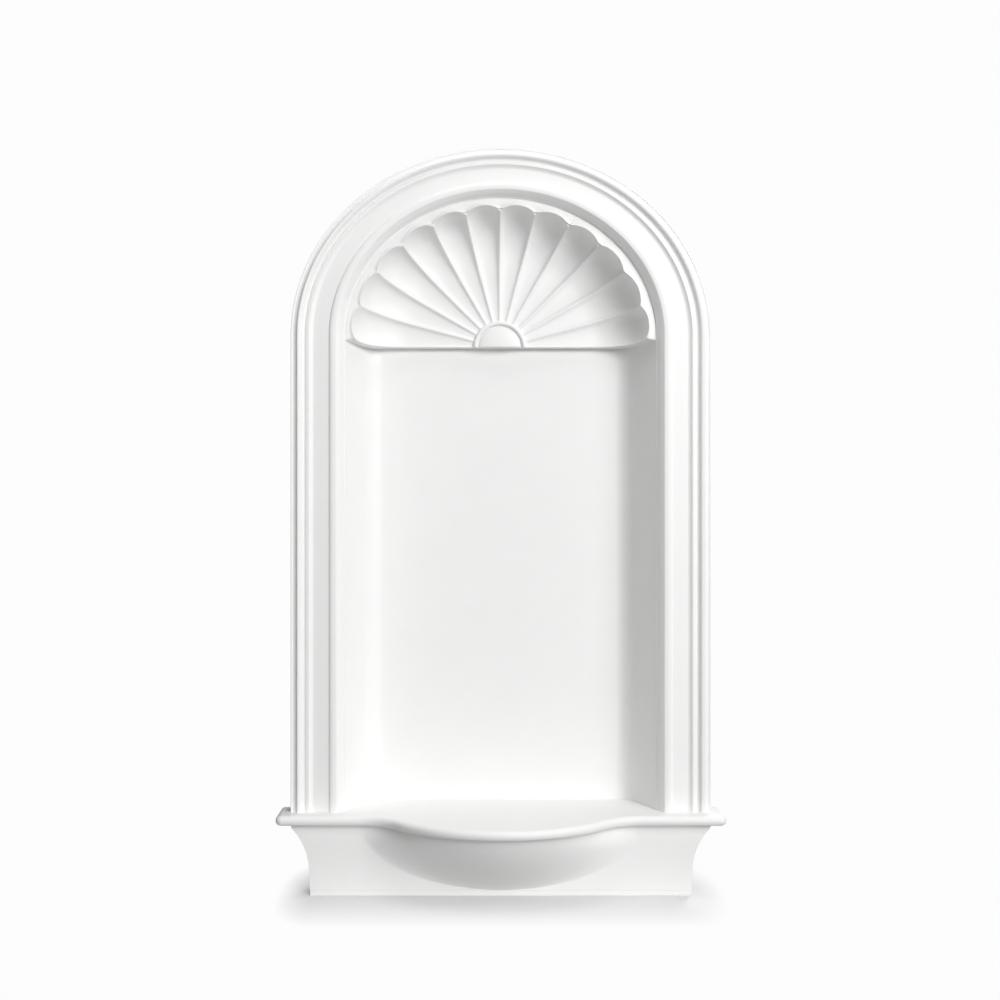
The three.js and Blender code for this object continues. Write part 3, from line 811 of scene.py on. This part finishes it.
def primedWhite():
    p = primer
    material, tree = newMaterial("primedWhite")
    place = tree.make("ShaderNodeTexCoord", out=3)
    cloud = tree.make("ShaderNodeTexNoise", {}, {
        "Vector": place, "Scale": p["cloudScale"], "Detail": 4.0, "Roughness": 0.6})
    streak = tree.make("ShaderNodeTexNoise", {}, {
        "Vector": place, "Scale": p["streakScale"], "Detail": 3.0})
    peel = tree.make("ShaderNodeTexNoise", {}, {
        "Vector": place, "Scale": p["peelScale"], "Detail": 2.0})
    grain = tree.make("ShaderNodeTexNoise", {}, {
        "Vector": place, "Scale": p["grainScale"], "Detail": 1.0})
    cells = tree.make("ShaderNodeTexVoronoi", {}, {
        "Vector": place, "Scale": p["speckScale"], "Randomness": 1.0})
    # Two whites in faint clouds and streaks.
    tone = tree.make("ShaderNodeValToRGB", {
        "stops": [(0.3, (0, 0, 0, 1)), (0.7, (1, 1, 1, 1))]
    }, {"Fac": cloud * 0.7 + streak * 0.3})
    coat = tree.make("ShaderNodeMix", {"data_type": "RGBA"},
                     {0: tone, 6: p["shade"], 7: p["white"]}, out=2)
    # A few specks of dust, where the peel is high.
    speck = ((p["speckSize"] - cells) * 60.0).clear() * ((peel - 0.52) * 14.0).clear()
    coloured = tree.make("ShaderNodeMix", {"data_type": "RGBA"},
                         {0: speck * p["speckStrength"], 6: coat, 7: p["dust"]}, out=2)
    roughness = p["roughness"] + (cloud - 0.5) * 0.16 + (peel - 0.5) * 0.12
    coarse = tree.make("ShaderNodeBump", {}, {
        "Height": peel, "Distance": p["peelHeight"], "Strength": p["bumpStrength"]})
    bump = tree.make("ShaderNodeBump", {}, {
        "Height": grain, "Distance": p["grainHeight"], "Strength": p["bumpStrength"],
        "Normal": coarse})
    surface = tree.make("ShaderNodeBsdfPrincipled", {}, {
        "Base Color": coloured, "Roughness": roughness, "Normal": bump, "IOR": p["ior"]})
    tree.make("ShaderNodeOutputMaterial", {}, {"Surface": surface})
    return material


body.data.materials.clear()
body.data.materials.append(primedWhite())
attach(body, "root")
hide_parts("wall_niche")
print("niche dressed")

# Studio, in metres: a pale floor that fades into the white round it, a near and a far soft key on
# the right, a broad light above, and one behind that lights the back.
# A light has its turn to the right and its rise in degrees, its distance, its width and its power.
studio = {
    "floorSize": 9.0, "floorSides": 96,
    "floorColour": (0.78, 0.78, 0.78, 1),
    "floorRoughness": 0.75, "grainRoughness": 0.1, "grainScale": 40.0,
    "footHalfWidth": 0.33, "footFront": -0.06,
    "shadowReach": (0.08, 0.19, 1),  # the floor is all white at this distance from the base
    "backdrop": (0.98, 0.98, 0.98, 1),
    "floorBounce": 0.34,
    "fill": 0.14,
    "aim": (0, 0, 0.62),
    "lights": {
        "keyLight": (38, 22, 4, 1.6, 48),
        "farKeyLight": (25, 15, 12, 4.2, 655),
        "topLight": (0, 80, 3, 2.5, 41),
        "backLight": (150, 30, 4, 1.6, 70),
    },
}


def floorMaterial():
    material, tree = newMaterial("paleFloor")
    place = tree.make("ShaderNodeTexCoord", out=3)
    # The floor keeps its shade close to the base, and is as white as the backdrop further off.
    middle = (0, studio["footFront"] / 2, 0)
    reach = (studio["footHalfWidth"], -studio["footFront"] / 2, 1)
    offset = tree.vector("SUBTRACT", {0: place, 1: middle})
    size = tree.vector("ABSOLUTE", {0: offset})
    outside = tree.vector("SUBTRACT", {0: size, 1: reach})
    gap = tree.vector("MAXIMUM", {0: outside, 1: (0, 0, 0)})
    shares = tree.vector("DIVIDE", {0: gap, 1: studio["shadowReach"]})
    far = tree.vector("LENGTH", {0: shares}, out=1).clear()
    grain = tree.make("ShaderNodeTexNoise", {}, {
        "Vector": place, "Scale": studio["grainScale"], "Detail": 3.0})
    matte = tree.make("ShaderNodeBsdfPrincipled", {}, {
        "Base Color": studio["floorColour"],
        "Roughness": studio["floorRoughness"] + grain * studio["grainRoughness"]})
    # The camera sees the far floor as white, and the niche gets less light from it.
    glow = tree.make("ShaderNodeEmission", {}, {"Color": studio["backdrop"], "Strength": 1.0})
    bounce = tree.make("ShaderNodeEmission", {}, {
        "Color": studio["backdrop"], "Strength": studio["floorBounce"]})
    seen = tree.make("ShaderNodeLightPath")
    pale = tree.make("ShaderNodeMixShader", {}, {0: seen, 1: bounce, 2: glow})
    mixed = tree.make("ShaderNodeMixShader", {}, {0: far, 1: matte, 2: pale})
    tree.make("ShaderNodeOutputMaterial", {}, {"Surface": mixed})
    return material


def paleFloor():
    work = bmesh.new()
    bmesh.ops.create_circle(work, cap_ends=True, radius=studio["floorSize"],
                            segments=studio["floorSides"])
    bmesh.ops.translate(work, vec=(0, 0, niche["bottom"] * mm), verts=work.verts)
    floor = finished(work, "paleFloor")
    floor.data.materials.append(floorMaterial())


def softLight(name, turn, rise, distance, size, power):
    light = bpy.data.lights.new(name, "AREA")
    light.shape = "DISK"
    light.size = size
    light.energy = power
    turn, rise = math.radians(turn), math.radians(rise)
    level = math.cos(rise)
    away = Vector((math.sin(turn) * level, -math.cos(turn) * level, math.sin(rise)))
    lamp = bpy.data.objects.new(name, light)
    lamp.location = Vector(studio["aim"]) + away * distance
    lamp.rotation_euler = (-away).to_track_quat("-Z", "Y").to_euler()
    bpy.context.scene.collection.objects.link(lamp)


def whiteRoom():
    # The camera sees the backdrop's white, and the niche gets a dim even fill.
    world = bpy.data.worlds.new("whiteRoom")
    world.use_nodes = True
    world.node_tree.nodes.clear()
    tree = Shade(world.node_tree)
    seen = tree.make("ShaderNodeLightPath")
    fill = tree.make("ShaderNodeBackground", {}, {
        "Color": (1, 1, 1, 1), "Strength": studio["fill"]})
    plain = tree.make("ShaderNodeBackground", {}, {
        "Color": studio["backdrop"], "Strength": 1.0})
    mixed = tree.make("ShaderNodeMixShader", {}, {0: seen, 1: fill, 2: plain})
    tree.make("ShaderNodeOutputWorld", {}, {"Surface": mixed})
    bpy.context.scene.world = world


paleFloor()
for name, settings in studio["lights"].items():
    softLight(name, *settings)
whiteRoom()

# Camera: square to the wall and a little left of the middle. A small shift keeps the niche centred.
camera = {
    "place": (-0.045, -2.6, 0.649),
    "lens": 50, "sensor": 36,
    "shift": (0.0238, 0.005),
    "nearest": 0.05, "furthest": 60,
}
lens = bpy.data.cameras.new("camera")
lens.lens = camera["lens"]
lens.sensor_width = camera["sensor"]
lens.shift_x, lens.shift_y = camera["shift"]
lens.clip_start = camera["nearest"]
lens.clip_end = camera["furthest"]
eye = bpy.data.objects.new("camera", lens)
eye.location = camera["place"]
eye.rotation_euler = (math.pi / 2, 0, 0)
bpy.context.scene.collection.objects.link(eye)
bpy.context.scene.camera = eye
bpy.context.scene.view_settings.view_transform = "Standard"
print("studio ready")
